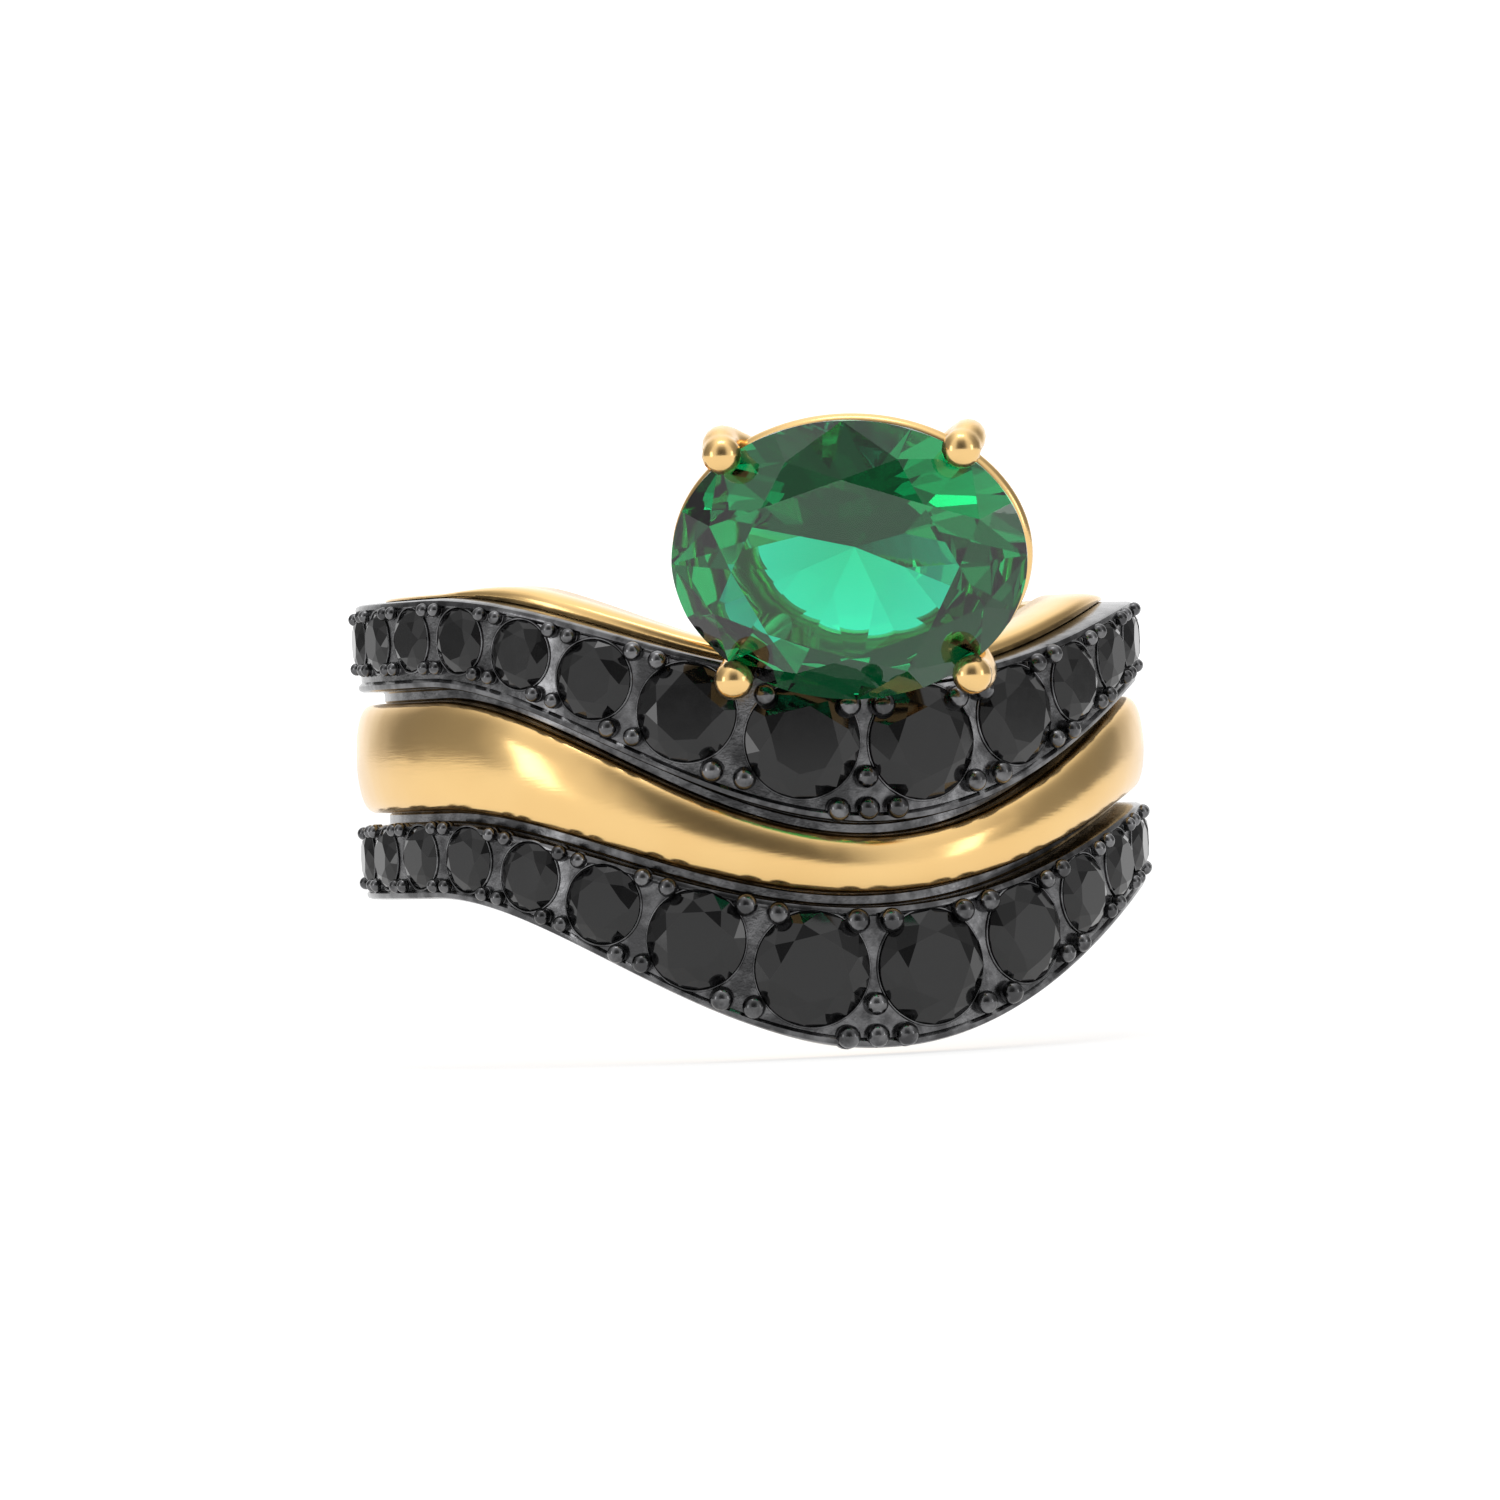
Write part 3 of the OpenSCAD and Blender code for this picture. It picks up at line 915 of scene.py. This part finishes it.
def smooth_path(path, cuts=5):
    """Rounds the bends of a path of (point, radius) pairs, leaving its ball end as drawn."""
    bends = 6
    made = []
    for i in range(bends - 1):
        p0, p1, p2, p3 = (path[max(0, min(bends, i + k))][0] for k in (-1, 0, 1, 2))
        for k in range(cuts):
            t = k / cuts
            where = 0.5 * (
                2 * p1 + (p2 - p0) * t + (2 * p0 - 5 * p1 + 4 * p2 - p3) * t * t
                + (3 * p1 - p0 - 3 * p2 + p3) * t * t * t
            )
            made.append((where, mix(path[i][1], path[i + 1][1], t)))
    return made + path[bends - 1:]


class RingHead(bpy.types.Operator):
    """Four claws, the gallery and base wires, and the finish of the two struts"""

    bl_idname = "ring.head"
    bl_label = "Wire head"

    def execute(self, context):
        sizes = context.scene.ring_sizes
        gold = bpy.data.materials["gold_polish"]
        for sy, height in ((1, "top"), (-1, "bottom")):
            for sx, hand in ((-1, "left"), (1, "right")):
                claw = claw_shape(sizes, sx, sy)
                claw.name = f"gold_claw_{height}_{hand}"
                grown = cut_stone("grown", 1.17, 3.42, 0.2, 0.64, 0.82, 0.32, 64)
                grown.data.transform(
                    head_place() @ Matrix.Diagonal((OVAL_L / 2 + 0.02, OVAL_W / 2 + 0.02, 1, 1))
                )
                carve(claw, grown)
                finish_piece(claw, gold, [f"claw_{height}_{hand}"], 40)
        for name, (along, across, height, thick) in WIRES.items():
            clear()
            even = (along + across) / 2
            bpy.ops.mesh.primitive_torus_add(
                major_segments=128, minor_segments=16, major_radius=1, minor_radius=thick / even
            )
            wire = bpy.context.object
            wire.name = f"gold_{name}_wire"
            edit(wire)
            bpy.ops.transform.resize(value=(along, across, even))
            close_edit()
            wire.data.transform(head_place() @ Matrix.Translation((0, 0, height)))
            finish_piece(wire, gold, [f"head_{name}_wire"], 180)
        for node in ("head_strut_left", "head_strut_right"):
            part = frame["nodes"][node]
            part.data.materials.clear()
            part.data.materials.append(gold)
        return {"FINISHED"}


# ---- finishes and stage ----


class RingFinishes(bpy.types.Operator):
    """Polished gold, black rhodium, black stone and green stone"""

    bl_idname = "ring.finishes"
    bl_label = "Finishes"

    def execute(self, context):
        looks = context.scene.ring_looks
        gold_finish(looks)
        rhodium_finish(looks)
        black_stone_finish(looks)
        green_stone_finish(looks)
        return {"FINISHED"}


class RingStage(bpy.types.Operator):
    """Pale floor, soft studio light and the camera"""

    bl_idname = "ring.stage"
    bl_label = "Stage"

    def floor(self):
        clear()
        bpy.ops.mesh.primitive_circle_add(vertices=96, radius=3, fill_type="NGON")
        floor = bpy.context.object
        floor.name = "floor"
        edit(floor, "FACE")
        bpy.ops.mesh.inset(thickness=1.0)
        bpy.ops.transform.translate(value=(0, 0, CAD_BOX[0][2] - 0.0002))
        close_edit()
        made, t = material("floor_paper")
        grain = t.noise(t.place((0.5, 0.5, 0.5)), 3)
        colour = t.blend(grain, (0.36, 0.36, 0.36), (0.4, 0.4, 0.4))
        surface(
            t,
            {
                "Base Color": colour, "Roughness": 0.9, "Specular IOR Level": 0.0,
                "Emission Color": (1.0, 1.0, 1.0), "Emission Strength": 0.75,
            },
        )
        floor.data.materials.append(made)
        floor.visible_transmission = False

    def sky(self, context):
        """White to the camera. For reflections dim in front, at the far sides and below, and
        bright behind, above and half way round."""
        world = bpy.data.worlds.new("studio")
        context.scene.world = world
        world.use_nodes = True
        t = Tree(world.node_tree)
        where = t.node("ShaderNodeTexCoord", output="Generated")
        east = t.node("ShaderNodeSeparateXYZ", None, {"Vector": where}, 0)
        north = t.node("ShaderNodeSeparateXYZ", None, {"Vector": where}, 1)
        up = t.node("ShaderNodeSeparateXYZ", None, {"Vector": where}, 2)
        side = t.node("ShaderNodeMath", {"operation": "ABSOLUTE"}, {0: east})
        turned = t.node("ShaderNodeMath", {"operation": "ARCTAN2"}, {0: side, 1: -1 * north})
        share = turned * (1 / pi)
        stops = [
            (0.0, (0.08,) * 3), (0.12, (0.13,) * 3), (0.22, (0.65,) * 3), (0.34, (0.75,) * 3),
            (0.46, (0.25,) * 3), (0.7, (0.2,) * 3), (0.86, (0.8,) * 3), (1.0, (1.0,) * 3),
        ]
        ring = t.node("ShaderNodeValToRGB", {"ramp": stops}, {"Fac": share})
        high = (up * up * up * up * up * 1.3).clipped()
        above = t.blend(high, ring, (1.0, 1.0, 1.0))
        lit = t.blend((up * -6).clipped(), above, (0.1, 0.1, 0.1))
        seen = t.node("ShaderNodeLightPath", output="Is Camera Ray")
        colour = t.blend(seen, lit, (1.0, 1.0, 1.0))
        shine = t.node("ShaderNodeBackground", None, {"Color": colour, "Strength": 1.4})
        out = t.tree.nodes.new("ShaderNodeOutputWorld")
        t.tree.links.new(shine.socket, out.inputs["Surface"])

    def soft_box(self, name, turn, rise, width, height, power):
        """An area light facing the ring from angle turn, 0 at the front and right positive."""
        reach = 0.25
        turn, rise = radians(turn), radians(rise)
        light = bpy.data.lights.new(name, "AREA")
        light.shape = "RECTANGLE"
        light.size = width
        light.size_y = height
        light.energy = power
        lamp = bpy.data.objects.new(name, light)
        bpy.context.scene.collection.objects.link(lamp)
        away = Vector((sin(turn) * cos(rise), -cos(turn) * cos(rise), sin(rise)))
        lamp.location = away * reach
        lamp.rotation_euler = away.to_track_quat("Z", "Y").to_euler()
        lamp.visible_camera = False

    def camera(self, context):
        """Level with the ring and far enough for a flat view, rolled a little to the left."""
        reach, per_metre = 0.3, 34.2e3
        lens = bpy.data.cameras.new("view")
        lens.sensor_width = 36
        lens.lens = per_metre * reach / 1500 * lens.sensor_width
        lens.clip_start = 0.001
        lens.clip_end = 10
        camera = bpy.data.objects.new("view", lens)
        context.scene.collection.objects.link(camera)
        away = Vector((0, -1, 0))
        aim = away.to_track_quat("Z", "Y").to_matrix().to_4x4()
        roll = Matrix.Rotation(radians(-2.5), 4, "Z")
        camera.matrix_world = Matrix.Translation(away * reach) @ aim @ roll
        context.scene.camera = camera

    def execute(self, context):
        self.floor()
        self.sky(context)
        self.soft_box("left_box", -62, 8, 0.05, 0.09, 0.035)
        self.soft_box("right_box", 62, 8, 0.04, 0.09, 0.025)
        self.soft_box("top_box", 0, 80, 0.12, 0.05, 0.06)
        self.camera(context)
        context.scene.view_settings.view_transform = "Standard"
        return {"FINISHED"}


class RingPanel(bpy.types.Panel):
    """Shows the ring's sizes and looks, and a button for each step that builds the ring"""

    bl_idname = "VIEW3D_PT_cocktail_ring"
    bl_label = "Cocktail ring"
    bl_space_type = "VIEW_3D"
    bl_region_type = "UI"
    bl_category = "Ring"

    def draw(self, context):
        for group in (context.scene.ring_sizes, context.scene.ring_looks):
            box = self.layout.box()
            for name in group.__annotations__:
                box.prop(group, name)
        for operator in STEPS:
            self.layout.operator(operator.bl_idname)


STEPS = (
    RingFinishes, RingStage, RingShank, RingGoldBand, RingRails, RingBlackStones, RingBeads,
    RingOvalStone, RingHead,
)


def register():
    for part in (RingSizes, RingLooks, *STEPS, RingPanel):
        bpy.utils.register_class(part)
    bpy.types.Scene.ring_sizes = PointerProperty(type=RingSizes)
    bpy.types.Scene.ring_looks = PointerProperty(type=RingLooks)


def unregister():
    del bpy.types.Scene.ring_looks
    del bpy.types.Scene.ring_sizes
    for part in (RingPanel, *reversed(STEPS), RingLooks, RingSizes):
        bpy.utils.unregister_class(part)


def main():
    register()
    bpy.ops.ring.finishes()
    bpy.ops.ring.stage()
    bpy.ops.ring.shank()
    bpy.ops.ring.gold_band()
    bpy.ops.ring.rails()
    bpy.ops.ring.black_stones()
    bpy.ops.ring.beads()
    bpy.ops.ring.oval_stone()
    bpy.ops.ring.head()
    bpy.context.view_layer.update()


if __name__ == "__main__":
    main()
